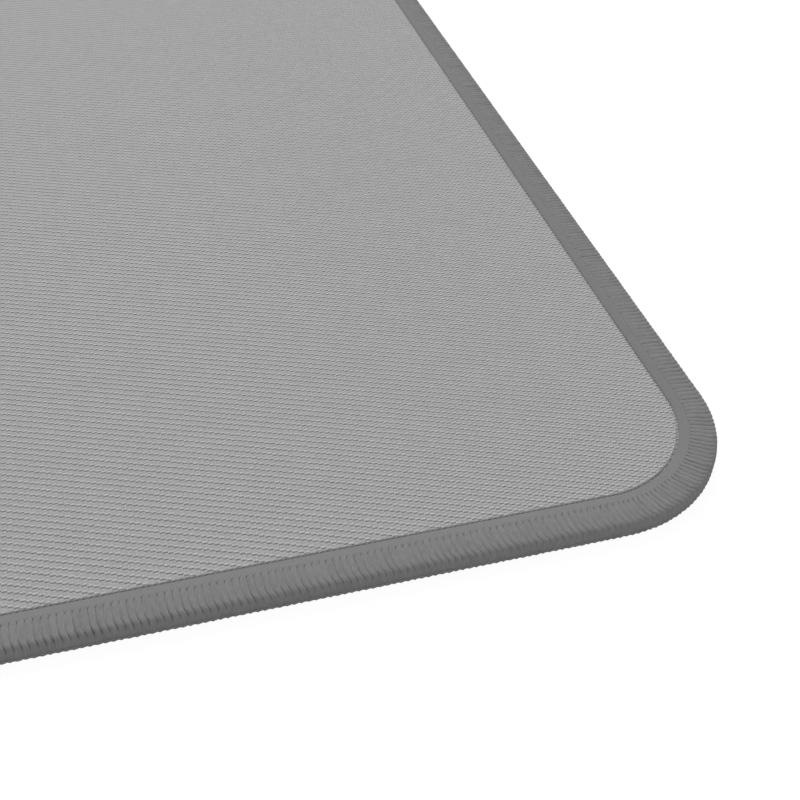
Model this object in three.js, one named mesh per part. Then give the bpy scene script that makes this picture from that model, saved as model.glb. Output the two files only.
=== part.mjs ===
// Cloth mouse pad with an overlocked edge.
// A woven top is glued to a foam-rubber sheet, a tape is folded over the cut edge, and
// overlock stitching covers the tape. Millimetres, +Z up. The pad lies on the plane z = 0,
// with its length along X and its origin under the middle of the sheet.
import * as THREE from 'three';

// Outline, measured over the stitching
const padLength = 240;
const padDepth = 200;
const cornerRadius = 20;

// Bonded sheet, from the desk up
const rubberThickness = 1.4;
const filmThickness = 0.12;
const clothThickness = 0.44;
const bondGap = 0.02;

// Sewn edge: the tape reaches bandWidth in from the rim, and plainStrip of it shows inside the loops
const bandWidth = 5.2;
const plainStrip = 1.3;
const tapeThickness = 0.15;
const threadThickness = 0.3;
const layGap = 0.03;
const deskClearance = 0.05;

// The stitching squeezes the sheet: rubber left at the rim, and how far in the squeeze fades out
const rubberRimThickness = 0.6;
const clothShoulder = 0.8;
const rubberShoulder = 1.6;
const sheetEase = 0.27;

// Overlock stitches
const stitchPitch = 0.845;
const stitchesPerLowerRib = 3;
const headHeight = 0.2;
const headEase = 0.12;
const rimEase = 0.42;
const grooveDepth = 0.15;
const purlTurn = 20; // degrees below the side of the rim, where the two threads meet on the lower turn
const needleThreadDiameter = 0.22;

// Facets
const cornerFacets = 8;
const needleThreadSides = 6;

// Heights of the squeezed stack at the rim, from the desk up
const lowerThreadBottom = deskClearance;
const lowerThreadTop = lowerThreadBottom + threadThickness;
const lowerTapeBottom = lowerThreadTop + layGap;
const rubberRimBottom = lowerTapeBottom + tapeThickness + layGap;
const rubberRimTop = rubberRimBottom + rubberRimThickness;
const filmRimBottom = rubberRimTop + bondGap;
const filmRimTop = filmRimBottom + filmThickness;
const clothRimBottom = filmRimTop + bondGap;
const clothRimTop = clothRimBottom + clothThickness;
const upperTapeTop = clothRimTop + layGap + tapeThickness;
const upperThreadBottom = upperTapeTop + layGap;
const upperThreadTop = upperThreadBottom + threadThickness;

// Heights of the free sheet
const filmBottom = rubberThickness + bondGap;
const clothBottom = filmBottom + filmThickness + bondGap;
const clothTop = clothBottom + clothThickness;

// Insets from the rim
const tapeInset = threadThickness + layGap;
const sheetInset = tapeInset + tapeThickness + layGap;
const needleInset = bandWidth - plainStrip;
const edgeEase = Math.min(sheetEase, clothThickness - bondGap, rubberRimThickness - bondGap);

// Rim line: a side and then a corner, four times, anticlockwise from the left end of the front side
const straightX = padLength - 2 * cornerRadius;
const straightY = padDepth - 2 * cornerRadius;
const cornerLength = (Math.PI / 2) * cornerRadius;
const rimLength = 2 * (straightX + straightY) + 4 * cornerLength;
const rimSides = [
  { start: new THREE.Vector2(-straightX / 2, -straightY / 2), length: straightX },
  { start: new THREE.Vector2(straightX / 2, -straightY / 2), length: straightY },
  { start: new THREE.Vector2(straightX / 2, straightY / 2), length: straightX },
  { start: new THREE.Vector2(-straightX / 2, straightY / 2), length: straightY },
];

// Point at a place along the rim line, moved in by inset and raised to height
function rimPoint(place, inset, height) {
  let rest = place;
  for (const [turn, side] of rimSides.entries()) {
    const heading = turn * (Math.PI / 2);
    const along = Math.min(rest, side.length);
    const swing = Math.min(rest - along, cornerLength) / cornerRadius;
    rest -= side.length + cornerLength;
    if (rest > 0 && turn < rimSides.length - 1) continue;
    const outward = heading - Math.PI / 2 + swing;
    const reach = cornerRadius - inset;
    return new THREE.Vector3(
      side.start.x + along * Math.cos(heading) + reach * Math.cos(outward),
      side.start.y + along * Math.sin(heading) + reach * Math.sin(outward),
      height,
    );
  }
}

// Places that a smooth row needs: the facets of the four corners
function cornerPlaces() {
  const places = [];
  let sideEnd = 0;
  for (const side of rimSides) {
    sideEnd += side.length;
    for (let i = 0; i <= cornerFacets; i++) places.push(sideEnd + (cornerLength * i) / cornerFacets);
    sideEnd += cornerLength;
  }
  places.pop();
  return [0, ...places];
}

// Places that a stitched row needs: count steps round the rim, the first one at shift of a step
function stitchPlaces(count, shift) {
  return Array.from({ length: count }, (_, i) => ((i + shift) * rimLength) / count);
}

// A row is one closed line of points round the pad
function row(places, pointAt) {
  return places.map((place, i) => ({ place, point: rimPoint(place, ...pointAt(i)) }));
}

function smoothRow(inset, height) {
  return row(cornerPlaces(), () => [inset, height]);
}

// Row at the turn of the rim, where crests and grooves of the ribs take turns
function ribRow(ribCount, crestHeight, grooveHeight) {
  const crest = [rimEase, crestHeight];
  const groove = [rimEase + grooveDepth / 2, grooveHeight];
  return row(stitchPlaces(2 * ribCount, 0), (i) => (i % 2 ? groove : crest));
}

// Band of triangles between two rows, whichever row comes next along the rim taking the next step
function zipRows(triangles, lower, upper) {
  const nextPlace = (line, i) => {
    if (i >= line.length) return Infinity;
    return i + 1 < line.length ? line[i + 1].place : rimLength + line[0].place;
  };
  let i = 0;
  let j = 0;
  while (i < lower.length || j < upper.length) {
    const a = lower[i % lower.length].point;
    const b = upper[j % upper.length].point;
    if (nextPlace(lower, i) <= nextPlace(upper, j)) {
      i += 1;
      triangles.push(a, lower[i % lower.length].point, b);
    } else {
      j += 1;
      triangles.push(a, upper[j % upper.length].point, b);
    }
  }
}

// Flat face that closes a row to the middle of the pad
function capRow(triangles, line, facesUp) {
  const middle = new THREE.Vector3(0, 0, line[0].point.z);
  for (let i = 0; i < line.length; i++) {
    const here = line[i].point;
    const next = line[(i + 1) % line.length].point;
    if (facesUp) triangles.push(middle, here, next);
    else triangles.push(middle, next, here);
  }
}

function solidFrom(triangles) {
  return new THREE.BufferGeometry().setFromPoints(triangles);
}

// Sheet from its rows, listed from the underside out to the rim and back in over the top
function sheetSolid(rows) {
  const triangles = [];
  capRow(triangles, rows[0], false);
  for (let k = 0; k + 1 < rows.length; k++) zipRows(triangles, rows[k], rows[k + 1]);
  capRow(triangles, rows[rows.length - 1], true);
  return solidFrom(triangles);
}

// Ring from its rows, listed once round the section: out under it, up at the rim and back in above
function ringSolid(rows) {
  const triangles = [];
  rows.forEach((line, k) => zipRows(triangles, line, rows[(k + 1) % rows.length]));
  return solidFrom(triangles);
}

// Inset and height of a point on a fold, at an angle above or below the side of the rim
function foldPoint(centreInset, centreHeight, radius, degrees) {
  const angle = THREE.MathUtils.degToRad(degrees);
  return [centreInset - radius * Math.cos(angle), centreHeight + radius * Math.sin(angle)];
}

// Rows of a fold round the rim: three points of a turn about a centre, from one angle to another
function foldRows(centreInset, centreHeight, radius, fromDegrees, toDegrees) {
  const angles = [fromDegrees, (fromDegrees + toDegrees) / 2, toDegrees];
  return angles.map((degrees) => smoothRow(...foldPoint(centreInset, centreHeight, radius, degrees)));
}

// Both folds turn about these points, one above the other, inside the eased edge of the sheet
const foldInset = sheetInset + edgeEase;
const upperFoldHeight = clothRimTop - edgeEase;
const lowerFoldHeight = rubberRimBottom + edgeEase;
const tapeInnerRadius = edgeEase + layGap;
const tapeOuterRadius = tapeInnerRadius + tapeThickness;
const threadInnerRadius = tapeOuterRadius + layGap;
const threadOuterRadius = threadInnerRadius + threadThickness;
const purlGap = THREE.MathUtils.radToDeg(layGap / threadInnerRadius); // degrees left between the two threads

// Foam rubber: flat where it lies on the desk, drawn up at the rim where the stitching squeezes it
function rubberBase() {
  return sheetSolid([
    smoothRow(bandWidth + rubberShoulder, 0),
    smoothRow(bandWidth, rubberRimBottom),
    smoothRow(foldInset, rubberRimBottom),
    smoothRow(sheetInset, lowerFoldHeight),
    smoothRow(sheetInset, rubberRimTop),
    smoothRow(bandWidth, rubberRimTop),
    smoothRow(bandWidth + clothShoulder, rubberThickness),
  ]);
}

// Hot-melt film: one even layer that dips with the sheet
function bondingFilm() {
  return sheetSolid([
    smoothRow(bandWidth + clothShoulder, filmBottom),
    smoothRow(bandWidth, filmRimBottom),
    smoothRow(sheetInset, filmRimBottom),
    smoothRow(sheetInset, filmRimTop),
    smoothRow(bandWidth, filmRimTop),
    smoothRow(bandWidth + clothShoulder, filmBottom + filmThickness),
  ]);
}

// Woven top: one even layer that dips under the tape, its cut edge eased
function clothSheet() {
  return sheetSolid([
    smoothRow(bandWidth + clothShoulder, clothBottom),
    smoothRow(bandWidth, clothRimBottom),
    smoothRow(sheetInset, clothRimBottom),
    smoothRow(sheetInset, upperFoldHeight),
    smoothRow(foldInset, clothRimTop),
    smoothRow(bandWidth, clothRimTop),
    smoothRow(bandWidth + clothShoulder, clothTop),
  ]);
}

// Edge tape: a flat tape folded over the rim of the sheet, open towards the middle of the pad
function edgeTape() {
  return ringSolid([
    smoothRow(bandWidth, lowerTapeBottom),
    ...foldRows(foldInset, lowerFoldHeight, tapeOuterRadius, -90, 0),
    ...foldRows(foldInset, upperFoldHeight, tapeOuterRadius, 0, 90),
    smoothRow(bandWidth, upperTapeTop),
    smoothRow(bandWidth, upperTapeTop - tapeThickness),
    ...foldRows(foldInset, upperFoldHeight, tapeInnerRadius, 90, 0),
    ...foldRows(foldInset, lowerFoldHeight, tapeInnerRadius, 0, -90),
    smoothRow(bandWidth, lowerTapeBottom + tapeThickness),
  ]);
}

// Needle thread: one strand round the pad, lying on the tape against the heads of the loops
function needleStrand() {
  const radius = needleThreadDiameter / 2;
  const middleInset = needleInset + layGap + radius;
  const middleHeight = upperThreadBottom + radius * Math.cos(Math.PI / needleThreadSides);
  const rows = [];
  for (let k = 0; k < needleThreadSides; k++) {
    const angle = (2 * Math.PI * k) / needleThreadSides;
    rows.push(smoothRow(middleInset - radius * Math.cos(angle), middleHeight + radius * Math.sin(angle)));
  }
  return ringSolid(rows);
}

// Upper loops: one rib for each stitch, from the head at the needle line over the top and down the side of
// the rim to the purl line. The ribs stand apart at the upper turn, and lean along the rim on the way down.
function upperLoops() {
  const count = Math.round(rimLength / stitchPitch);
  const end = -purlTurn + purlGap / 2;
  return ringSolid([
    smoothRow(...foldPoint(foldInset, lowerFoldHeight, threadInnerRadius, end)),
    smoothRow(...foldPoint(foldInset, lowerFoldHeight, threadOuterRadius, end)),
    smoothRow(0, lowerFoldHeight),
    row(stitchPlaces(count, 0.5), () => [0, upperFoldHeight]),
    ribRow(count, upperThreadTop, upperThreadTop - grooveDepth),
    row(stitchPlaces(count, 0), () => [needleInset - headEase, upperThreadBottom + headHeight]),
    smoothRow(needleInset, upperThreadBottom),
    ...foldRows(foldInset, upperFoldHeight, threadInnerRadius, 90, 0),
    smoothRow(tapeInset - layGap, lowerFoldHeight),
  ]);
}

// Lower loops: the same band under the rim, with fewer ribs because it is only seen from below
function lowerLoops() {
  const count = Math.round(rimLength / stitchPitch / stitchesPerLowerRib);
  const end = -purlTurn - purlGap / 2;
  const purl = foldPoint(foldInset, lowerFoldHeight, threadOuterRadius, end);
  return ringSolid([
    ...foldRows(foldInset, lowerFoldHeight, threadInnerRadius, end, -90),
    smoothRow(needleInset, lowerThreadTop),
    row(stitchPlaces(count, 0), () => [needleInset - headEase, lowerThreadTop - headHeight]),
    ribRow(count, lowerThreadBottom, lowerThreadBottom + grooveDepth),
    row(stitchPlaces(count, 0.5), () => purl),
  ]);
}

const greyCloth = new THREE.MeshStandardMaterial({ color: 0xa0a0a0, roughness: 0.95, metalness: 0 });
const clearFilm = new THREE.MeshStandardMaterial({ color: 0xd8d6cf, roughness: 0.5, metalness: 0 });
const blackRubber = new THREE.MeshStandardMaterial({ color: 0x222222, roughness: 0.9, metalness: 0 });
const greyTape = new THREE.MeshStandardMaterial({ color: 0x7e7e7e, roughness: 0.9, metalness: 0 });
const greyThread = new THREE.MeshStandardMaterial({ color: 0x7c7c7c, roughness: 0.8, metalness: 0 });

const pad = new THREE.Group();

function addPiece(name, geometry, material) {
  geometry.computeVertexNormals();
  const piece = new THREE.Mesh(geometry, material);
  piece.name = name;
  pad.add(piece);
}

addPiece('rubber_base', rubberBase(), blackRubber);
addPiece('bonding_film', bondingFilm(), clearFilm);
addPiece('cloth_top', clothSheet(), greyCloth);
addPiece('edge_tape', edgeTape(), greyTape);
addPiece('needle_thread', needleStrand(), greyThread);
addPiece('upper_looper_thread', upperLoops(), greyThread);
addPiece('lower_looper_thread', lowerLoops(), greyThread);

export default pad;
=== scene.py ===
# Cloth mouse pad with an overlocked edge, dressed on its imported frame.
# Sizes in the dictionaries are millimetres, and the meshes are written in metres.
import math

import bpy
import numpy as np
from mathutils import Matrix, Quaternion, Vector


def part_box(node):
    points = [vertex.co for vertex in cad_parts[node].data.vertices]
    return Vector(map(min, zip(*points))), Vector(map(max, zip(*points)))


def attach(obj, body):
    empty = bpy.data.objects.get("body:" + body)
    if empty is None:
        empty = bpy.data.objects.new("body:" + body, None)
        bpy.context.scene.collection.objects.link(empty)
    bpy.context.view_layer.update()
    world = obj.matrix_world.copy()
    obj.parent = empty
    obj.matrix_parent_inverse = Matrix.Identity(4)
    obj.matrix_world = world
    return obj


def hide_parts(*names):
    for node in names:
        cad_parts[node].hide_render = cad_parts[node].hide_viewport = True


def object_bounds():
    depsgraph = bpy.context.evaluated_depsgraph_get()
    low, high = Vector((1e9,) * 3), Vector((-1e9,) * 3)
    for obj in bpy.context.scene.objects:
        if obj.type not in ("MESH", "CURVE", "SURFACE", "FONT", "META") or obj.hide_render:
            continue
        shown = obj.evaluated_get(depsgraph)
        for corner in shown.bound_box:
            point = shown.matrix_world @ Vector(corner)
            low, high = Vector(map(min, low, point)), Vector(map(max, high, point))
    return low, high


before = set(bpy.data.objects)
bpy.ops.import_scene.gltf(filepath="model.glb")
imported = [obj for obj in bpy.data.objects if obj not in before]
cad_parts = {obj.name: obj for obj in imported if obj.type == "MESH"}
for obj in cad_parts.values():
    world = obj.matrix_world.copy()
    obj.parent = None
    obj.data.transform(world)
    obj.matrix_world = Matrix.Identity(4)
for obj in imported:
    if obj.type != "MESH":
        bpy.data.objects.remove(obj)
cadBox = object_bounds()
mm = 0.001
quarterTurn = math.pi / 2
bakeMap = "OFBake"
chance = np.random.default_rng(seed=5)
print("frame loaded with", len(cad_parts), "nodes")


def addObject(name, data):
    made = bpy.data.objects.new(name, data)
    bpy.context.scene.collection.objects.link(made)
    return made


# Camera, at the place that the photograph was taken from

photoCamera = {
    "place": (47.92, -175.03, 100.03),
    "aim": (79.07, -71.26, 2.0),
    "roll": 1.88,  # degrees
    "lens": 48.2,
    "sensor": 36.0,
    "nearest": 10.0,
}


def setCamera():
    data = bpy.data.cameras.new("photoCamera")
    data.lens = photoCamera["lens"]
    data.sensor_width = photoCamera["sensor"]
    data.clip_start = photoCamera["nearest"] * mm
    camera = addObject("photoCamera", data)
    place = Vector(photoCamera["place"]) * mm
    look = Vector(photoCamera["aim"]) * mm - place
    roll = Quaternion((0, 0, 1), math.radians(photoCamera["roll"]))
    camera.location = place
    camera.rotation_mode = "QUATERNION"
    camera.rotation_quaternion = look.to_track_quat("-Z", "Y") @ roll
    bpy.context.scene.camera = camera


setCamera()
bpy.context.scene.view_settings.view_transform = "Standard"
print("camera set")


# Outline and layers, worked out from the frame

def nodeBox(node):
    low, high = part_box(node)
    return np.array(low) / mm, np.array(high) / mm


edge = {
    "cornerRadius": 20.0,
    "bandWidth": 5.2,       # rim to the inner edge of the tape
    "needleInset": 3.9,     # rim to the needle line
    "layGap": 0.03,         # left between layers that are sewn down
    "bondGap": 0.02,        # left between layers that are glued
    "sheetEase": 0.27,      # radius of the sheet's cut edge
    "easeCut": 0.3,         # share of it that the middle of the rounding lies in from both faces
    "clothShoulder": 0.8,   # width of the slope where the stitching squeezes the sheet
    "rubberShoulder": 1.6,
    "stitchPitch": 0.845,
}

padHigh = np.array(cadBox[1]) / mm
clothLow, clothHigh = nodeBox("cloth_top")
filmLow, filmHigh = nodeBox("bonding_film")
rubberLow, rubberHigh = nodeBox("rubber_base")
tapeLow, tapeHigh = nodeBox("edge_tape")

sheetInset = padHigh[0] - clothHigh[0]
tapeThickness = sheetInset - (padHigh[0] - tapeHigh[0]) - edge["layGap"]
foldInset = sheetInset + edge["sheetEase"]
easedEdge = edge["easeCut"] * edge["sheetEase"]
tapeRadius = edge["sheetEase"] + edge["layGap"]
threadRadius = tapeRadius + tapeThickness + edge["layGap"]
upperFold = tapeHigh[2] - tapeThickness - tapeRadius  # heights that the two folds turn about
lowerFold = tapeLow[2] + tapeThickness + tapeRadius

straight = 2 * (padHigh[:2] - edge["cornerRadius"])  # lengths of the sides between their corners
cornerLength = edge["cornerRadius"] * quarterTurn
sideLengths = np.tile(straight, 2)
sideStarts = np.concatenate([[0], np.cumsum(sideLengths + cornerLength)[:3]])
rimLength = sideLengths.sum() + 4 * cornerLength
stitchCount = round(rimLength / edge["stitchPitch"])
stitchPitch = rimLength / stitchCount


def sideAt(place):
    # the side that each place of the rim is on, counting the corner after it, and how far along
    place = np.mod(place, rimLength)
    side = np.searchsorted(sideStarts, place, side="right") - 1
    return side, place - sideStarts[side]


def rimPoints(place, inset, height):
    # place runs anticlockwise from the left end of the front side, a side and then a corner, four times
    place, inset, height = np.broadcast_arrays(place, inset, height)
    side, rest = sideAt(place)
    along = np.minimum(rest, sideLengths[side])
    heading = side * quarterTurn
    outward = heading - quarterTurn + (rest - along) / edge["cornerRadius"]
    reach = edge["cornerRadius"] - inset
    startX = straight[0] / 2 * np.array([-1, 1, 1, -1])[side]
    startY = straight[1] / 2 * np.array([-1, -1, 1, 1])[side]
    x = startX + along * np.cos(heading) + reach * np.cos(outward)
    y = startY + along * np.sin(heading) + reach * np.sin(outward)
    return np.stack([x, y, height], -1)


wander = {  # how the sewing differs on the front, right, back and left sides
    "seam": (0.02, -0.17, 0.0, -0.06),   # inner edges of the tape, further in
    "lip": (0.02, 0.06, 0.0, 0.02),      # lip of the cloth at the seam, further in
    "needle": (0.34, -0.48, 0.1, -0.2),  # needle line and heads of the loops, further in
    "heads": (0.05, 0.09, 0.06, 0.08),   # how far the heads start out of line
    "sway": (0.0, 1.0, 0.4, 0.8),        # share of the loops' sway
    "gap": (1.0, 0.05, 0.6, 0.5),        # share of the gaps between the heads
    "depth": (1.0, 0.95, 0.5, 0.9),      # share of the grooves between the loops
    "roll": (1.0, 0.35, 0.3, 0.5),       # share of the loops' roll at the turn of the rim
    "side": (0.08, 1.0, 0.6, 0.6),       # share of the grooves that is left on the side of the rim
    "soft": (0.0, 1.0, 0.4, 0.6),        # share of the step at the heads that is pressed flat
}


def strayed(place, kind):
    # steady along a side, and changing through the corner to the next
    ends = np.stack([sideStarts, sideStarts + sideLengths], 1).ravel()
    return np.interp(place, ends, np.repeat(wander[kind], 2), period=rimLength)


def cornerShare(place):
    # 0 along the sides, and 1 halfway round a corner
    side, rest = sideAt(place)
    return np.sin(math.pi * np.clip((rest - sideLengths[side]) / cornerLength, 0, 1))


def bandSection(distance, radius, startInset, under=False):
    # walks over the folded edge from startInset on top to the same inset underneath
    flat = startInset - foldInset
    quarter = radius * quarterTurn
    marks = np.cumsum([0, flat, quarter, upperFold - lowerFold, quarter, flat])
    angle = np.radians(np.interp(distance, marks, [90, 90, 0, 0, -90, -90]))
    middle = foldInset + np.interp(distance, marks, [flat, 0, 0, 0, 0, flat])
    level = np.interp(distance, marks[2:4], [upperFold, lowerFold])
    if under:  # the same walk, started underneath
        angle = -angle
        level = upperFold + lowerFold - level
    return middle, level, angle, marks


# Mesh makers

def finishMesh(name, points, faces, cornerUv, sharp):
    mesh = bpy.data.meshes.new(name)
    mesh.from_pydata((points.reshape(-1, 3) * mm).tolist(), [], faces)
    layer = mesh.uv_layers.new(name=bakeMap)
    layer.data.foreach_set("uv", np.asarray(cornerUv, np.float32).ravel())
    mesh.shade_smooth()
    mesh.set_sharp_from_angle(angle=math.radians(sharp))
    return addObject(name, mesh)


def netPiece(name, points, uv, closed, sharp):
    # points are strands x steps along x points round
    # uv has one more round, and one more along if closed
    strands, along, around = points.shape[:3]
    vertex = np.arange(strands * along * around).reshape(strands, along, around)
    i, j = np.indices((along if closed else along - 1, around)).reshape(2, -1)
    corners = [(i, j), (i + 1, j), (i + 1, j + 1), (i, j + 1)]
    quads = np.stack([vertex[:, a % along, b % around] for a, b in corners], -1)
    quadUv = np.stack([uv[:, a, b] for a, b in corners], -2)
    faces = quads.reshape(-1, 4).tolist()
    cornerUv = [quadUv.reshape(-1, 2)]
    if not closed:  # both ends of each strand are capped
        faces += vertex[:, 0, ::-1].tolist() + vertex[:, -1].tolist()
        cornerUv += [uv[:, 0, around - 1::-1].reshape(-1, 2), uv[:, -1, :around].reshape(-1, 2)]
    return finishMesh(name, points, faces, np.concatenate(cornerUv), sharp)


sheetNet = {"step": 8.0, "cornerSteps": 30, "sharp": 60}


def smoothPlaces(step, cornerSteps):
    places = []
    for start, length in zip(sideStarts, sideLengths):
        count = round(length / step)
        places.extend(start + length * np.arange(count + 1) / count)
        places.extend(start + length + cornerLength * np.arange(1, cornerSteps) / cornerSteps)
    return np.array(places)


def coreGrid():
    # grid over the middle of a sheet, and the grid point that each place of the rim faces
    across, deep = np.round(straight / sheetNet["step"]).astype(int)
    x = np.linspace(-straight[0] / 2, straight[0] / 2, across + 1)
    y = np.linspace(-straight[1] / 2, straight[1] / 2, deep + 1)
    index = np.arange((across + 1) * (deep + 1)).reshape(across + 1, deep + 1)
    facing = []
    for side in (index[:, 0], index[-1, :], index[::-1, -1], index[0, ::-1]):
        facing.extend(side)
        facing.extend([side[-1]] * (sheetNet["cornerSteps"] - 1))
    grid = np.stack(np.meshgrid(x, y, indexing="ij"), -1).reshape(-1, 2)
    corners = [index[:-1, :-1], index[1:, :-1], index[1:, 1:], index[:-1, 1:]]
    return grid, np.stack(corners, -1).reshape(-1, 4), np.array(facing)


def lipMap(places, insets, heights, lipRows, lipRun):
    # runs along one float of the weave, so that no painted dip shade of the pattern falls on the lip
    run = np.array(lipRun["along"]) / np.hypot(*lipRun["along"])
    side = np.array([-run[1], run[0]])
    walk = np.cumsum(np.hypot(np.diff(insets, prepend=insets[0]), np.diff(heights, prepend=heights[0])))
    walk = walk - (walk[lipRows[0]] + walk[lipRows[-1] + 1]) / 2
    places = np.append(places, rimLength)
    return places[:, None, None] * run + walk[None, :, None] * side + lipRun["start"]


def sheetPiece(name, rows, tile, lipRun=None):
    # rows run from the underside out to the rim and back in over the top
    # each is an inset and a height, with a 1 on the lip
    places = smoothPlaces(sheetNet["step"], sheetNet["cornerSteps"])
    insets, heights, follows = np.array([(*row, 0.0)[:3] for row in rows]).T
    stray = strayed(places, "lip")[:, None] * follows[None, :]
    rings = rimPoints(places[:, None], insets[None, :] + stray, heights[None, :])
    count, deep = rings.shape[:2]
    ring = np.arange(count * deep).reshape(count, deep)
    grid, quads, facing = coreGrid()
    below = count * deep + np.arange(len(grid))
    above = below + len(grid)
    low = np.column_stack([grid, np.full(len(grid), heights[0])])
    high = np.column_stack([grid, np.full(len(grid), heights[-1])])
    points = np.concatenate([rings.reshape(-1, 3), low, high])
    faces = below[quads[:, ::-1]].tolist() + above[quads].tolist()
    climbs = (follows[:-1] * follows[1:] > 0) & (heights[:-1] < heights[1:])
    lipRows = np.flatnonzero(climbs).tolist()  # none on a sheet without a lip
    lipFaces = []
    for k in range(count):
        n = (k + 1) % count
        lipFaces += [(len(faces) + r, k, r) for r in lipRows]
        faces += [[ring[k, r], ring[n, r], ring[n, r + 1], ring[k, r + 1]] for r in range(deep - 1)]
        inner = [below[facing[k]], below[facing[n]], ring[n, 0], ring[k, 0]]
        outer = [ring[k, -1], ring[n, -1], above[facing[n]], above[facing[k]]]
        if facing[k] == facing[n]:  # round a corner both are triangles
            inner.pop(0)
            outer.pop()
        faces += [inner, outer]
    uv = (points[:, :2] - tile["origin"]) / tile["size"]
    cornerUv = uv[np.concatenate(faces)]
    if lipRows:
        starts = np.cumsum([0] + [len(face) for face in faces])
        lipUv = lipMap(places, insets, heights, lipRows, lipRun) / tile["size"]
        for index, k, r in lipFaces:
            corners = lipUv[[k, k + 1, k + 1, k], [r, r, r + 1, r + 1]]
            cornerUv[starts[index]:starts[index] + 4] = corners
    return finishMesh(name, points, faces, cornerUv, sheetNet["sharp"])


# Shader helpers

def addNode(tree, kind, **settings):
    node = tree.nodes.new(kind)
    for key, value in settings.items():
        setattr(node, key, value)
    return node


def feed(tree, socket, value):
    if isinstance(value, bpy.types.NodeSocket):
        tree.links.new(value, socket)
    else:
        socket.default_value = value


def calc(tree, operation, *values):
    node = addNode(tree, "ShaderNodeMath", operation=operation)
    for socket, value in zip(node.inputs, values):
        feed(tree, socket, value)
    return node.outputs["Value"]


def plus(tree, first, second):
    return calc(tree, "ADD", first, second)


def minus(tree, first, second):
    return calc(tree, "SUBTRACT", first, second)


def times(tree, first, second):
    return calc(tree, "MULTIPLY", first, second)


def over(tree, first, second):
    return calc(tree, "DIVIDE", first, second)


def axes(tree, vector):
    parts = addNode(tree, "ShaderNodeSeparateXYZ")
    feed(tree, parts.inputs["Vector"], vector)
    return parts.outputs


def joined(tree, *values):
    whole = addNode(tree, "ShaderNodeCombineXYZ")
    for socket, value in zip(whole.inputs, values):
        feed(tree, socket, value)
    return whole.outputs["Vector"]


def bell(tree, value, centre, width):
    # 1 at the centre, fading both ways
    share = over(tree, minus(tree, value, centre), width)
    return calc(tree, "EXPONENT", times(tree, times(tree, share, share), -1.0))


def fade(tree, value, low, high, atLow, atHigh):
    node = addNode(tree, "ShaderNodeMapRange", interpolation_type="SMOOTHSTEP")
    for socket, given in zip(node.inputs, (value, low, high, atLow, atHigh)):
        feed(tree, socket, given)
    return node.outputs["Result"]


def softNoise(tree, place, scale, detail):
    # noise about 0
    noise = addNode(tree, "ShaderNodeTexNoise")
    feed(tree, noise.inputs["Vector"], place)
    feed(tree, noise.inputs["Scale"], scale)
    feed(tree, noise.inputs["Detail"], detail)
    return minus(tree, noise.outputs["Fac"], 0.5)


def startGroup(name, numbers):
    # a group that turns a place and some numbers into a shade and a height
    tree = bpy.data.node_groups.new(name, "ShaderNodeTree")
    tree.interface.new_socket(name="place", in_out="INPUT", socket_type="NodeSocketVector")
    for label in numbers:
        tree.interface.new_socket(name=label, in_out="INPUT", socket_type="NodeSocketFloat")
    for label in ("shade", "height"):
        tree.interface.new_socket(name=label, in_out="OUTPUT", socket_type="NodeSocketFloat")
    return tree, addNode(tree, "NodeGroupInput").outputs, addNode(tree, "NodeGroupOutput").inputs


def useGroup(tree, group, **values):
    node = addNode(tree, "ShaderNodeGroup", node_tree=group)
    for label, value in values.items():
        feed(tree, node.inputs[label], value)
    return node.outputs


# Twill weave: warp yarns along Y, each dipping under a weft once per repeat
# From yarn to yarn the dips step by a quarter of a repeat.

# The colour carries the weave's light and shade: painted shade at each dip and painted highlights on
# the crowns, over only a shallow bump.
twill = {
    "tileYarns": 48,            # after so many yarns and repeats the draws come again
    "tileRepeats": 32,
    "step": 0.25,               # repeats from a yarn's dip to the next yarn's
    "jitter": 0.06,             # repeats that the marks of a float stray by
    "dip": (0.0, 0.074),        # place along the repeat and width of each painted mark, here the painted shade at the dip
    # painted highlights on the crown beyond the dip and on the near side of it, and a sunk painted
    # shade further on
    "highlightedCrown": (0.26, 0.09),
    "nearHighlight": (-0.24, 0.075),
    "sunkShade": (-0.44, 0.065),
    "fullTo": 0.40,             # share of the pitch out to which dip and crown are whole
    "goneAt": 0.52,             # and from which they are gone
    "crispFull": 0.10,          # how much less both are where the weave is crisp
    "crispGone": 0.06,
    "crispGain": 0.5,           # how much stronger the painted shade and highlights are there
    "nearShare": 0.36,          # strength of the near painted highlight
    "nearShift": 0.34,           # and what it gains where the painted shading shifts
    "sunkShift": 0.5,            # strength of the sunk painted shade there
    "dipLeast": 0.92,           # weakest draws
    "crownLeast": 0.88,
    "toneLeast": 0.975,
    "toneMix": 13.7,            # makes another draw out of the dip's
    "yarnLift": 0.6,            # heights of the yarn's back and of the crown on it
    "crownLift": 0.4,
}


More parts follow.
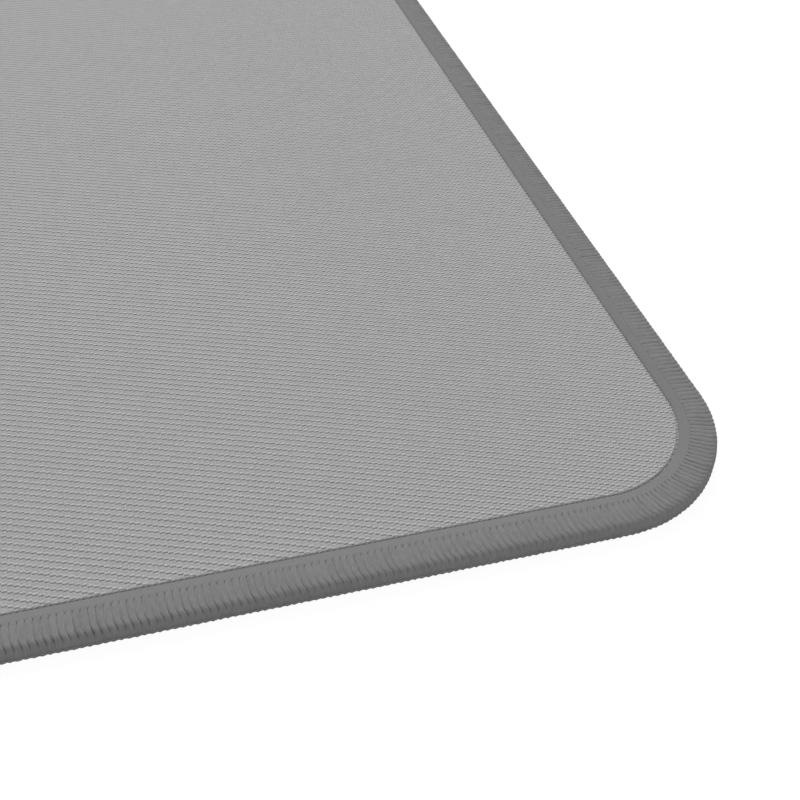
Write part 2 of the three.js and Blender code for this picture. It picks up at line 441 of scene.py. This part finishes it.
def makeTwill():
    numbers = ("pitch", "repeat", "dip", "shine", "uneven", "open", "crisp")
    tree, given, out = startGroup("twillWeave", numbers)
    place = axes(tree, given["place"])
    yarnPlace = over(tree, place["X"], given["pitch"])
    yarn = calc(tree, "ROUND", yarnPlace)
    across = calc(tree, "ABSOLUTE", minus(tree, yarnPlace, yarn))
    lengthwise = over(tree, place["Y"], given["repeat"])
    stepped = plus(tree, lengthwise, times(tree, yarn, twill["step"]))
    floated = calc(tree, "ROUND", stepped)
    cellX = calc(tree, "FLOORED_MODULO", yarn, twill["tileYarns"])
    cellY = calc(tree, "FLOORED_MODULO", floated, twill["tileRepeats"])
    luck = addNode(tree, "ShaderNodeTexWhiteNoise", noise_dimensions="2D")
    feed(tree, luck.inputs["Vector"], joined(tree, cellX, cellY))
    draws = axes(tree, luck.outputs["Color"])
    shift = times(tree, minus(tree, draws["X"], 0.5), given["uneven"])
    along = plus(tree, minus(tree, stepped, floated), times(tree, shift, twill["jitter"]))

    def varied(draw, least):
        # a draw from least up to the same amount above 1, faded out where the weave is even
        spread = times(tree, minus(tree, draw, 0.5), 2.0 * (1.0 - least))
        return plus(tree, 1.0, times(tree, spread, given["uneven"]))

    # a painted mark as a bell along the repeat, used for both the painted shade and the painted
    # highlights
    def paintedMark(kind, strength):
        return times(tree, bell(tree, along, *twill[kind]), strength)

    fullTo = minus(tree, twill["fullTo"], times(tree, given["crisp"], twill["crispFull"]))
    goneAt = minus(tree, twill["goneAt"], times(tree, given["crisp"], twill["crispGone"]))
    whole = fade(tree, across, fullTo, goneAt, 1.0, 0.0)
    # painted shade at the dip, painted highlights on the crown and the near side, and the sunk painted
    # shade
    dip = times(tree, paintedMark("dip", whole), varied(draws["Y"], twill["dipLeast"]))
    highlightedCrown = times(tree, paintedMark("highlightedCrown", whole), varied(draws["Z"], twill["crownLeast"]))
    nearShare = plus(tree, twill["nearShare"], times(tree, given["open"], twill["nearShift"]))
    nearHighlight = paintedMark("nearHighlight", nearShare)
    sunkShade = paintedMark("sunkShade", times(tree, given["open"], twill["sunkShift"]))
    toneDraw = calc(tree, "FRACT", times(tree, draws["Y"], twill["toneMix"]))
    stronger = plus(tree, 1.0, times(tree, given["crisp"], twill["crispGain"]))
    # light sums the painted highlights and dark the painted shade, and both are multiplied into the
    # colour
    light = times(tree, times(tree, plus(tree, highlightedCrown, nearHighlight), given["shine"]), stronger)
    dark = times(tree, times(tree, plus(tree, dip, sunkShade), given["dip"]), stronger)
    shade = minus(tree, plus(tree, 1.0, light), dark)
    feed(tree, out["shade"], times(tree, shade, varied(toneDraw, twill["toneLeast"])))
    rounded = fade(tree, across, 0.0, 0.5, twill["yarnLift"], 0.0)
    lift = plus(tree, rounded, times(tree, highlightedCrown, twill["crownLift"]))
    feed(tree, out["height"], minus(tree, lift, dip))
    return tree


# Fine grain: mottled shade and height from one noise

grainDetail = 3.0


def makeGrain():
    tree, given, out = startGroup("fineGrain", ("size", "amount"))
    noise = softNoise(tree, given["place"], over(tree, 1.0, given["size"]), grainDetail)
    feed(tree, out["shade"], plus(tree, 1.0, times(tree, noise, given["amount"])))
    feed(tree, out["height"], noise)
    return tree


# Filaments: streaks along a thread, with each strand a little lighter or darker than the next

filaments = {
    "scale": 1.0,
    "detail": 2.0,
    "strandOffset": 3.7,  # sets the streaks of each strand apart from the next one's
}


def makeFilaments():
    tree, given, out = startGroup("threadFilaments", ("count", "twist", "streak", "strand"))
    place = axes(tree, given["place"])
    strand = calc(tree, "FLOOR", place["X"])
    turned = plus(tree, place["X"], times(tree, place["Y"], given["twist"]))
    offset = times(tree, strand, filaments["strandOffset"])
    spread = joined(tree, times(tree, turned, given["count"]), place["Y"], offset)
    streak = softNoise(tree, spread, filaments["scale"], filaments["detail"])
    luck = addNode(tree, "ShaderNodeTexWhiteNoise", noise_dimensions="1D")
    feed(tree, luck.inputs["W"], strand)
    tone = times(tree, minus(tree, luck.outputs["Value"], 0.5), given["strand"])
    shade = plus(tree, 1.0, times(tree, streak, given["streak"]))
    feed(tree, out["shade"], plus(tree, shade, tone))
    feed(tree, out["height"], streak)
    return tree


twillWeave = makeTwill()
fineGrain = makeGrain()
threadFilaments = makeFilaments()
print("shader groups made")


def startMaterial(name, scale):
    # the piece's own map, scaled so that the groups work in millimetres or in strands
    material = bpy.data.materials.new(name)
    material.use_nodes = True
    tree = material.node_tree
    ownMap = addNode(tree, "ShaderNodeUVMap", uv_map=bakeMap)
    place = addNode(tree, "ShaderNodeVectorMath", operation="MULTIPLY")
    feed(tree, place.inputs[0], ownMap.outputs["UV"])
    feed(tree, place.inputs[1], (scale[0], scale[1], 1.0))
    return material, tree, tree.nodes["Principled BSDF"], place.outputs["Vector"]


def tint(tree, shader, colour, *shades):
    result = (*colour, 1.0)
    for shade in shades:
        mix = addNode(tree, "ShaderNodeMix", data_type="RGBA", blend_type="MULTIPLY")
        feed(tree, mix.inputs["Factor"], 1.0)
        feed(tree, mix.inputs["A"], result)
        feed(tree, mix.inputs["B"], shade)
        result = mix.outputs["Result"]
    feed(tree, shader.inputs["Base Color"], result)


def roughen(tree, shader, shade, look):
    # from the look's dark shade to its light one
    feed(tree, shader.inputs["Roughness"], fade(tree, shade, *look["shades"], *look["roughness"]))


def emboss(tree, shader, *layers):
    # each layer is a height and how deep it goes, in millimetres
    total = 0.0
    for height, depth in layers:
        total = plus(tree, total, times(tree, height, depth))
    bump = addNode(tree, "ShaderNodeBump")
    feed(tree, bump.inputs["Height"], total)
    feed(tree, bump.inputs["Distance"], mm)
    feed(tree, shader.inputs["Normal"], bump.outputs["Normal"])


def setSockets(shader, values):
    for label, value in values.items():
        shader.inputs[label].default_value = value


def dress(piece, material, node):
    piece.data.materials.append(material)
    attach(piece, "root")
    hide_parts(node)
    print(piece.name, "made with", len(piece.data.polygons), "faces")


# Heights of the layers, free and squeezed at the rim

clothRimTop = tapeHigh[2] - tapeThickness - edge["layGap"]
clothThickness = clothRimTop - clothLow[2]
filmThickness = clothLow[2] - edge["bondGap"] - filmLow[2]
rubberRimTop = filmLow[2] - edge["bondGap"]
rubberRimBottom = tapeLow[2] + tapeThickness + edge["layGap"]
shoulder = edge["bandWidth"] + edge["clothShoulder"]


# Foam rubber base

foamLook = {
    "tile": {"origin": np.array([0.0, 0.0]), "size": np.array([21.6, 21.6])},
    "slope": ((0.7, 0.15), (0.3, 0.85)),  # shares of the shoulder's width and height
    "colour": (0.02, 0.02, 0.02),
    "pipPitch": 1.8,            # lozenges moulded into the underside
    "pipFlank": 0.25,           # share of the pitch that their flanks take
    "pipDepth": 0.12,
    "pipPaintedShades": (0.8, 1.05),   # painted shade in the grooves, and painted light on the lozenges
    "pipRoughness": (0.95, 0.75),
    "grain": {"size": 0.25, "amount": 0.5},
    "grainDepth": 0.03,
    "sockets": {"Specular IOR Level": 0.35},
}


def foamMaterial():
    material, tree, shader, place = startMaterial("foamRubber", foamLook["tile"]["size"])
    grain = useGroup(tree, fineGrain, place=place, **foamLook["grain"])
    parts = axes(tree, place)
    ridges = []
    for slanted in (plus, minus):
        slant = slanted(tree, parts["X"], parts["Y"])
        ridges.append(calc(tree, "PINGPONG", slant, foamLook["pipPitch"] / 2))
    groove = calc(tree, "MINIMUM", *ridges)
    pip = fade(tree, groove, 0.0, foamLook["pipFlank"] * foamLook["pipPitch"], 0.0, 1.0)
    # painted shade in the grooves and painted light on the lozenge tops, multiplied into the rubber's
    # colour
    pipPaintedShade = fade(tree, pip, 0.0, 1.0, *foamLook["pipPaintedShades"])
    tint(tree, shader, foamLook["colour"], grain["shade"], pipPaintedShade)
    feed(tree, shader.inputs["Roughness"], fade(tree, pip, 0.0, 1.0, *foamLook["pipRoughness"]))
    emboss(tree, shader, (pip, foamLook["pipDepth"]), (grain["height"], foamLook["grainDepth"]))
    setSockets(shader, foamLook["sockets"])
    return material


def foamBase():
    slope = [
        (edge["bandWidth"] + share * edge["rubberShoulder"], up * rubberRimBottom)
        for share, up in foamLook["slope"]
    ]
    rows = [
        (edge["bandWidth"] + edge["rubberShoulder"], rubberLow[2]),
        *slope,
        (edge["bandWidth"], rubberRimBottom),
        (foldInset, rubberRimBottom),
        (sheetInset + easedEdge, rubberRimBottom + easedEdge),
        (sheetInset, lowerFold),
        (sheetInset, rubberRimTop),
        (edge["bandWidth"], rubberRimTop),
        (shoulder, rubberHigh[2]),
    ]
    piece = sheetPiece("foamBase", rows, foamLook["tile"])
    dress(piece, foamMaterial(), "rubber_base")


foamBase()


# Bonding film

filmLook = {
    "tile": {"origin": np.array([0.0, 0.0]), "size": np.array([30.0, 30.0])},
    "colour": (0.68, 0.67, 0.62),
    "roughness": 0.5,
    "grain": {"size": 0.6, "amount": 0.15},
    "grainDepth": 0.02,
}


def filmMaterial():
    material, tree, shader, place = startMaterial("meltFilm", filmLook["tile"]["size"])
    grain = useGroup(tree, fineGrain, place=place, **filmLook["grain"])
    tint(tree, shader, filmLook["colour"], grain["shade"])
    feed(tree, shader.inputs["Roughness"], times(tree, grain["shade"], filmLook["roughness"]))
    emboss(tree, shader, (grain["height"], filmLook["grainDepth"]))
    return material


def bondingFilm():
    rows = [
        (shoulder, filmHigh[2] - filmThickness),
        (edge["bandWidth"], filmLow[2]),
        (sheetInset, filmLow[2]),
        (sheetInset, filmLow[2] + filmThickness),
        (edge["bandWidth"], filmLow[2] + filmThickness),
        (shoulder, filmHigh[2]),
    ]
    piece = sheetPiece("bondingFilm", rows, filmLook["tile"])
    dress(piece, filmMaterial(), "bonding_film")


bondingFilm()


# Woven top

clothLook = {
    "pitch": 0.67,       # one warp yarn to the next
    "repeat": 1.0443,    # one dip to the next along a yarn
    "origin": np.array([-0.283, 0.516]),  # a dip of the weave, which sets where the pattern lies
    "colour": (0.371, 0.371, 0.371),
    # strength of the painted shade at the dips, and of the painted highlights
    "dip": 0.60,
    "shine": 0.41,
    "openFrom": (55.0, 90.0),     # where along the pad the painted shading begins to shift, and has shifted, with more sunk painted shade and near painted highlight
    "crispFrom": (-75.0, -15.0),  # where across the pad it begins to stand out more, and does so fully
    "crispUneven": 0.4,           # how much more uneven it is there
    "shades": (0.6, 1.2),
    "roughness": (1.0, 0.85),
    "weaveDepth": 0.04,
    "mottle": {"size": 6.0, "amount": 0.05},
    "fuzz": {"size": 0.22, "amount": 1.1},
    "fuzzDepth": 0.02,
    "sockets": {"Specular IOR Level": 0.06, "Sheen Weight": 0.02, "Sheen Roughness": 0.6},
    "grooveInset": 0.085,  # foot of the cloth's wall at the seam, in from the tape
    "grooveWidth": 0.17,
    "lip": ((0.0, 0.0), (0.15, 0.46), (0.40, 0.82), (1.0, 1.0), (2.0, 1.0)),  # shares of width and drop
}
clothTile = {
    "origin": clothLook["origin"],
    "size": np.array([
        clothLook["pitch"] * twill["tileYarns"],
        clothLook["repeat"] * twill["tileRepeats"],
    ]),
}


def clothMaterial():
    material, tree, shader, place = startMaterial("clothTwill", clothTile["size"])
    parts = axes(tree, place)
    # painted shading that shifts towards the right of the pad, and painted marks that stand out more
    # towards the back
    opened = fade(tree, parts["X"], *clothLook["openFrom"], 0.0, 1.0)
    crisp = fade(tree, parts["Y"], *clothLook["crispFrom"], 0.0, 1.0)
    uneven = plus(tree, 1.0, times(tree, crisp, clothLook["crispUneven"]))
    weave = useGroup(
        tree, twillWeave, place=place, pitch=clothLook["pitch"], repeat=clothLook["repeat"],
        dip=clothLook["dip"], shine=clothLook["shine"], uneven=uneven, open=opened, crisp=crisp,
    )
    mottle = useGroup(tree, fineGrain, place=place, **clothLook["mottle"])
    fuzz = useGroup(tree, fineGrain, place=place, **clothLook["fuzz"])
    tint(tree, shader, clothLook["colour"], weave["shade"], mottle["shade"], fuzz["shade"])
    roughen(tree, shader, weave["shade"], clothLook)
    yarns = (weave["height"], clothLook["weaveDepth"])
    emboss(tree, shader, yarns, (fuzz["height"], clothLook["fuzzDepth"]))
    setSockets(shader, clothLook["sockets"])
    return material


def clothTop():
    grooveInset = edge["bandWidth"] + clothLook["grooveInset"]
    drop = clothHigh[2] - clothRimTop
    lip = [
        (grooveInset + share * clothLook["grooveWidth"], clothRimTop + up * drop, 1.0)
        for share, up in clothLook["lip"]
    ]
    rows = [
        (shoulder, clothHigh[2] - clothThickness),
        (edge["bandWidth"], clothLow[2]),
        (sheetInset, clothLow[2]),
        (sheetInset, upperFold),
        (sheetInset + easedEdge, clothRimTop - easedEdge),
        (foldInset, clothRimTop),
        *lip,
    ]
    lipRun = {  # from one float to the next yarn's, halfway between their dips
        "along": (clothLook["pitch"], -twill["step"] * clothLook["repeat"]),
        "start": np.array([0.0, clothLook["repeat"] / 2]),
    }
    piece = sheetPiece("clothTop", rows, clothTile, lipRun)
    dress(piece, clothMaterial(), "cloth_top")


clothTop()


# Edge tape

tapeLook = {
    "tileLength": 12.0,
    "step": 4.0,
    "cornerSteps": 40,
    "turnPoints": 7,      # on each turn of the fold
    "edgeRound": 0.05,
    "sharp": 60,
    "colour": (0.219, 0.219, 0.219),
    # the same painted shade at the dips and painted highlights as the cloth, fainter and finer
    "weave": {
        "pitch": 0.20, "repeat": 0.30, "dip": 0.14, "shine": 0.06,
        "uneven": 0.6, "open": 0.0, "crisp": 0.0,
    },
    "weaveDepth": 0.015,
    "grain": {"size": 1.5, "amount": 0.06},
    "grainDepth": 0.02,
    "shades": (0.8, 1.1),
    "roughness": (1.0, 0.85),
    "sockets": {"Specular IOR Level": 0.2},
}


def tapeMaterial(width):
    material, tree, shader, place = startMaterial("tapeWeave", (tapeLook["tileLength"], width))
    weave = useGroup(tree, twillWeave, place=place, **tapeLook["weave"])
    grain = useGroup(tree, fineGrain, place=place, **tapeLook["grain"])
    tint(tree, shader, tapeLook["colour"], weave["shade"], grain["shade"])
    roughen(tree, shader, weave["shade"], tapeLook)
    yarns = (weave["height"], tapeLook["weaveDepth"])
    emboss(tree, shader, yarns, (grain["height"], tapeLook["grainDepth"]))
    setSockets(shader, tapeLook["sockets"])
    return material


def edgeTape():
    outer = tapeRadius + tapeThickness
    edgeRound = tapeLook["edgeRound"]
    marks = bandSection(0.0, outer, edge["bandWidth"])[3]
    width = marks[-1]
    turns = [np.linspace(marks[k], marks[k + 1], tapeLook["turnPoints"]) for k in (1, 3)]
    walk = np.concatenate([[0, edgeRound], *turns, [width - edgeRound, width]])
    radii = np.full(len(walk), outer)
    radii[[0, -1]] -= edgeRound
    innerMarks = bandSection(0.0, tapeRadius, edge["bandWidth"])[3]
    innerWalk = np.interp(walk, marks, innerMarks)
    innerRadii = np.full(len(walk), tapeRadius)
    innerRadii[[0, -1]] += edgeRound
    insets, heights = [], []
    for steps, radius, base in ((walk[::-1], radii[::-1], outer), (innerWalk, innerRadii, tapeRadius)):
        middle, level, angle, _ = bandSection(steps, base, edge["bandWidth"])
        insets.append(middle - radius * np.cos(angle))
        heights.append(level + radius * np.sin(angle))
    insets = np.concatenate(insets)
    heights = np.concatenate(heights)
    places = smoothPlaces(tapeLook["step"], tapeLook["cornerSteps"])
    follows = np.clip((insets - foldInset) / (edge["bandWidth"] - foldInset), 0, 1)
    stray = strayed(places, "seam")[:, None] * follows[None, :]
    points = rimPoints(places[:, None], insets[None, :] + stray, heights[None, :])[None]
    along = np.append(places, rimLength) / tapeLook["tileLength"]
    across = np.concatenate([walk[::-1], innerWalk, walk[-1:]]) / width
    uv = np.stack(np.meshgrid(along, across, indexing="ij"), -1)[None]
    piece = netPiece("edgeTape", points, uv, True, tapeLook["sharp"])
    dress(piece, tapeMaterial(width), "edge_tape")


edgeTape()


# Looper threads: one flat tongue of spread filaments for each stitch
# The stations are distances walked from the needle line, over the fold and on to the purl line.
# Width, lean and sway are in stitches, and ragged is in millimetres like height. The other rows are
# shares, and a row that is left out counts as zero.

threadLook = {
    "colour": (0.220, 0.220, 0.220),
    "scale": (16, 6.0),   # strands in a tile, and how fast the streaks change along them
    "fibres": {"count": 7.0, "twist": 0.05, "streak": 0.60, "strand": 0.05},
    "depth": 0.03,
    "shades": (0.85, 1.15),
    "roughness": (0.95, 0.75),
    "sockets": {"Specular IOR Level": 0.08, "Sheen Weight": 0.02, "Sheen Roughness": 0.6},
    "sharp": 70,
    "across": (-1.0, -0.84, -0.46, 0.0, 0.46, 0.84, 1.0),
    "eyeWidth": 0.36,     # share of the half width that the dip between the two legs takes
    "flatPower": 2.4,     # by which the flat and the peaked section fall off towards the sides
    "peakPower": 1.7,
    "footReach": 1.0,     # along this walk from the needle line the foot comes down to the tape
    "footSink": 0.8,      # by this share of the gap above it
}

loopLuck = {  # shares by which the loops differ from each other
    "fall": 0.3,
    "eye": 0.5,
    "height": 0.015,
    "width": 0.02,
    "lean": 0.03,
    "place": 0.015,
}

upperTongue = {
    "stations": (0.0, 0.20, 0.38, 0.72, 1.9, 2.70, 3.08, 3.36, 3.62, 3.90, 4.60, 4.70),
    "width": (0.48, 0.48, 0.78, 0.98, 1.04, 1.04, 1.03, 1.03, 1.03, 1.04, 1.03, 0.97),
    "height": (0.02, 0.07, 0.11, 0.18, 0.27, 0.275, 0.275, 0.325, 0.345, 0.31, 0.305, 0.27),
    "rim": (0.62, 0.62, 0.60, 0.63, 0.63, 0.46, 0.36, 0.83, 0.74, 0.80, 0.87, 0.88),
    "eye": (0.0, 0.05, 0.05, 0.05, 0.05, 0.05, 0.05, 0.05, 0.02, 0.01, 0.0, 0.0),
    "tilt": (0.0, 0.0, 0.0, 0.02, 0.03, 0.08, 0.23, 0.45, 0.18, 0.0, 0.0, 0.0),
    "lean": (0.13, 0.20, 0.16, 0.05, 0.12, 0.20, 0.29, 0.48, 0.63, 0.63, 0.63, 0.63),
    "sway": (0.0, 0.0, 0.0, -0.05, -0.32, -0.52, -0.61, -0.66, -0.69, -0.63, -0.63, -0.63),
    "side": (0.0, 0.0, 0.0, 0.0, 0.0, 0.0, 0.0, 0.0, 1.0, 1.0, 1.0, 1.0),
    "soft": (0.9, 0.6, 0.3, 0.05, 0.0, 0.0, 0.0, 0.0, 0.0, 0.0, 0.0, 0.0),
    "fan": (0.4, 0.5, 0.7, 0.9, 0.5, 0.1, 0.0, 0.7, 1.9, 2.2, 1.9, 0.9),
    "ragged": (0.0, 0.0, 0.0, 0.01, 0.02, 0.04, 0.05, 0.04, 0.015, 0.004, 0.0, 0.0),
}

lowerTongue = {
    "stations": (0.0, 0.22, 0.55, 1.2, 2.6, 3.12, 3.33, 3.46, 3.54, 3.60, 3.65, 3.68),
    "width": (0.85, 0.98, 1.02, 1.03, 1.03, 1.03, 1.02, 1.02, 1.02, 1.02, 1.0, 0.97),
    "height": (0.0, 0.12, 0.21, 0.265, 0.28, 0.30, 0.40, 0.605, 0.60, 0.455, 0.39, 0.28),
    "rim": (0.55, 0.55, 0.55, 0.52, 0.50, 0.66, 0.82, 0.83, 0.83, 0.88, 0.93, 0.93),
    "eye": (0.0, 0.50, 0.34, 0.20, 0.18, 0.10, 0.04, 0.0, 0.0, 0.0, 0.0, 0.0),
    "tilt": (0.0, 0.02, 0.02, 0.02, 0.02, 0.02, 0.02, 0.03, 0.03, 0.02, 0.0, 0.0),
    "lean": (0.0, 0.0, 0.0, 0.0, 0.05, 0.12, 0.20, 0.26, 0.30, 0.34, 0.38, 0.40),
    "sway": (0.0, 0.0, 0.0, -0.05, -0.25, -0.30, -0.25, -0.15, -0.08, 0.0, 0.0, 0.0),
    "peak": (0.0, 0.0, 0.0, 0.0, 0.0, 0.2, 0.6, 1.0, 1.0, 0.9, 0.6, 0.4),
    "ragged": (0.0, 0.0, 0.0, 0.01, 0.01, 0.01, 0.01, 0.01, 0.01, 0.01, 0.0, 0.0),
}


def threadMaterial(name, look):
    material, tree, shader, place = startMaterial(name, look["scale"])
    fibres = useGroup(tree, threadFilaments, place=place, **look["fibres"])
    tint(tree, shader, look["colour"], fibres["shade"])
    roughen(tree, shader, fibres["shade"], look)
    emboss(tree, shader, (fibres["height"], look["depth"]))
    setSockets(shader, look["sockets"])
    return material


def loopBand(name, tongue, under, material, node):
    stations = np.array(tongue["stations"])
    across = np.array(threadLook["across"])
    loops = np.arange(stitchCount)[:, None, None]
    starts = loops * stitchPitch

    def row(key):
        return np.array(tongue.get(key, np.zeros(len(stations))))[None, :, None]

    def draw(amount=1.0):
        return amount * chance.uniform(-1, 1, (stitchCount, 1, 1))

    left = 1 - row("side") * (1 - strayed(starts, "side"))
    fanned = 1 + row("fan") * cornerShare(starts)
    fall = (1 - row("rim")) * strayed(starts, "depth") * left * fanned * (1 + draw(loopLuck["fall"]))
    flat = 1 - fall * np.abs(across) ** threadLook["flatPower"]
    peaked = 1 - fall * (1 - (1 - np.abs(across)) ** threadLook["peakPower"])
    dip = row("eye") * (1 + draw(loopLuck["eye"])) * np.exp(-(across / threadLook["eyeWidth"]) ** 2)
    roll = row("tilt") * strayed(starts, "roll")
    shape = flat + (peaked - flat) * row("peak") - dip + roll * across
    tall = row("height") * (1 - row("soft") * strayed(starts, "soft")) + row("ragged") * draw()
    surface = shape * tall * (1 + draw(loopLuck["height"]))
    foot = np.where(stations < threadLook["footReach"], -threadLook["footSink"] * edge["layGap"], 0.0)
    foot = np.broadcast_to(foot[None, :, None], surface.shape[:2] + (1,))
    reach = threadRadius + np.concatenate([surface, foot], -1)
    width = row("width") + (1 - strayed(starts, "gap")) * np.maximum(0, 1 - row("width"))
    lateral = np.append(across, 0.0) * width / 2 * (1 + draw(loopLuck["width"]))
    lean = row("lean") * (1 + draw(loopLuck["lean"]))
    sway = strayed(starts, "sway") * row("sway")
    places = (loops + 0.5 + lateral + lean + sway + draw(loopLuck["place"])) * stitchPitch
    walk = stations[None, :, None]
    middle, level, angle, _ = bandSection(walk, threadRadius, edge["needleInset"], under)
    follows = (middle - foldInset) / (edge["needleInset"] - foldInset)
    middle = middle + follows * (strayed(starts, "needle") + draw() * strayed(starts, "heads"))
    points = rimPoints(places, middle - reach * np.cos(angle), level + reach * np.sin(angle))
    if under:  # seen from below the tongue turns the other way round
        points = points[:, :, ::-1]
    u = np.append((across + 1) / 2, [0.5, 0.0])
    strand = (loops + u) / threadLook["scale"][0]
    uv = np.stack(np.broadcast_arrays(strand, walk / stations[-1]), -1)
    piece = netPiece(name, points, uv, False, threadLook["sharp"])
    dress(piece, material, node)


looperThread = threadMaterial("looperThread", threadLook)
loopBand("upperLoops", upperTongue, False, looperThread, "upper_looper_thread")
loopBand("lowerLoops", lowerTongue, True, looperThread, "lower_looper_thread")


# Needle thread: a strand along the tape, which shows between the heads of the loops

needleLook = {
    "width": 0.60,        # pressed flat by the stitches
    "thickness": 0.30,
    "inset": 3.62,
    "stepsPerStitch": 8,
    "sides": 6,
    "sharp": 80,
    "rise": -0.06,        # middle of the strand above the tape, where it shows between two heads
    "sink": 0.13,         # and below it inside a head
    "pressed": 0.14,      # how much lower it lies where the heads are pressed flat
    "lean": 0.19,         # share of a stitch that the gaps lie along from its start
    # darker than the looper thread: painted shade for the gaps between the heads of the loops
    "colour": (0.194, 0.194, 0.194),
    "scale": (1.0, 16),   # once round the strand, and stitches in a tile
    "fibres": {"count": 5.0, "twist": 1.5, "streak": 0.3, "strand": 0.0},
    "depth": 0.03,
    "shades": (0.85, 1.15),
    "roughness": (0.95, 0.75),
    "sockets": {"Specular IOR Level": 0.25},
}


def needleStrand():
    along = np.arange(stitchCount * needleLook["stepsPerStitch"]) / needleLook["stepsPerStitch"]
    places = along * stitchPitch
    swing = (1 + np.cos(2 * math.pi * (along - needleLook["lean"]))) / 2  # 1 between two loops
    level = tapeHigh[2] - needleLook["sink"] + (needleLook["rise"] + needleLook["sink"]) * swing
    level = level - needleLook["pressed"] * strayed(places, "soft")
    line = needleLook["inset"] + strayed(places, "needle")
    angle = 2 * math.pi * np.arange(needleLook["sides"]) / needleLook["sides"]
    insets = line[:, None] - needleLook["width"] / 2 * np.cos(angle)[None, :]
    heights = level[:, None] + needleLook["thickness"] / 2 * np.sin(angle)[None, :]
    points = rimPoints(places[:, None], insets, heights)[None]
    lengthwise = np.append(along, stitchCount) / needleLook["scale"][1]
    around = np.arange(needleLook["sides"] + 1) / needleLook["sides"]
    uv = np.stack(np.meshgrid(around, lengthwise), -1)[None]
    piece = netPiece("needleStrand", points, uv, True, needleLook["sharp"])
    dress(piece, threadMaterial("needleThread", needleLook), "needle_thread")


needleStrand()


# Floor, lights and world

studio = {
    "floorSize": 4000.0,
    "floorDrop": 0.05,        # below the pad, so that the two never share a plane
    "floorBounce": 0.71,      # how pale the floor is to the light that falls on it
    "floorSeen": 0.08,        # share of that light that the camera sees, with the shadow
    "floorWhite": 0.94,       # plain white that the camera sees on top
    "skyLevel": 0.65,         # strength of the sky as a light
    "skySeen": 1.0,           # and as the camera sees it
    "keyPlace": (120.0, 1700.0, 1430.0),
    "keySize": 1400.0,
    "keyPower": 26.0,
}


def grey(level):
    return (level, level, level, 1.0)


def cameraMask(tree):
    # the eye, and what mirrors or glass would show it
    path = addNode(tree, "ShaderNodeLightPath").outputs
    seen = calc(tree, "MAXIMUM", path["Is Camera Ray"], path["Is Glossy Ray"])
    return calc(tree, "MAXIMUM", seen, path["Is Transmission Ray"])


def floorMaterial():
    material = bpy.data.materials.new("paleFloor")
    material.use_nodes = True
    tree = material.node_tree
    tree.nodes.clear()
    bounce = addNode(tree, "ShaderNodeBsdfDiffuse")
    shaded = addNode(tree, "ShaderNodeBsdfDiffuse")
    white = addNode(tree, "ShaderNodeEmission")
    seen = addNode(tree, "ShaderNodeAddShader")
    mix = addNode(tree, "ShaderNodeMixShader")
    surface = addNode(tree, "ShaderNodeOutputMaterial").inputs["Surface"]
    feed(tree, bounce.inputs["Color"], grey(studio["floorBounce"]))
    feed(tree, shaded.inputs["Color"], grey(studio["floorSeen"]))
    feed(tree, white.inputs["Strength"], studio["floorWhite"])
    feed(tree, seen.inputs[0], shaded.outputs[0])
    feed(tree, seen.inputs[1], white.outputs[0])
    feed(tree, mix.inputs[0], cameraMask(tree))
    feed(tree, mix.inputs[1], bounce.outputs[0])
    feed(tree, mix.inputs[2], seen.outputs[0])
    feed(tree, surface, mix.outputs[0])
    return material


def paleFloor():
    half = studio["floorSize"] / 2 * mm
    corners = [(-half, -half, 0), (half, -half, 0), (half, half, 0), (-half, half, 0)]
    mesh = bpy.data.meshes.new("paleFloor")
    mesh.from_pydata(corners, [], [(0, 1, 2, 3)])
    mesh.materials.append(floorMaterial())
    floor = addObject("paleFloor", mesh)
    floor.location.z = -studio["floorDrop"] * mm


def softLight():
    data = bpy.data.lights.new("softKey", "AREA")
    data.size = studio["keySize"] * mm
    data.energy = studio["keyPower"]
    light = addObject("softKey", data)
    light.location = Vector(studio["keyPlace"]) * mm
    light.rotation_mode = "QUATERNION"
    light.rotation_quaternion = (-light.location).to_track_quat("-Z", "Y")


def paleSky():
    world = bpy.data.worlds.new("studioSky")
    world.use_nodes = True
    tree = world.node_tree
    sky = tree.nodes["Background"]
    level = fade(tree, cameraMask(tree), 0.0, 1.0, studio["skyLevel"], studio["skySeen"])
    feed(tree, sky.inputs["Color"], grey(1.0))
    feed(tree, sky.inputs["Strength"], level)
    bpy.context.scene.world = world


paleFloor()
softLight()
paleSky()
print("floor and lights set")
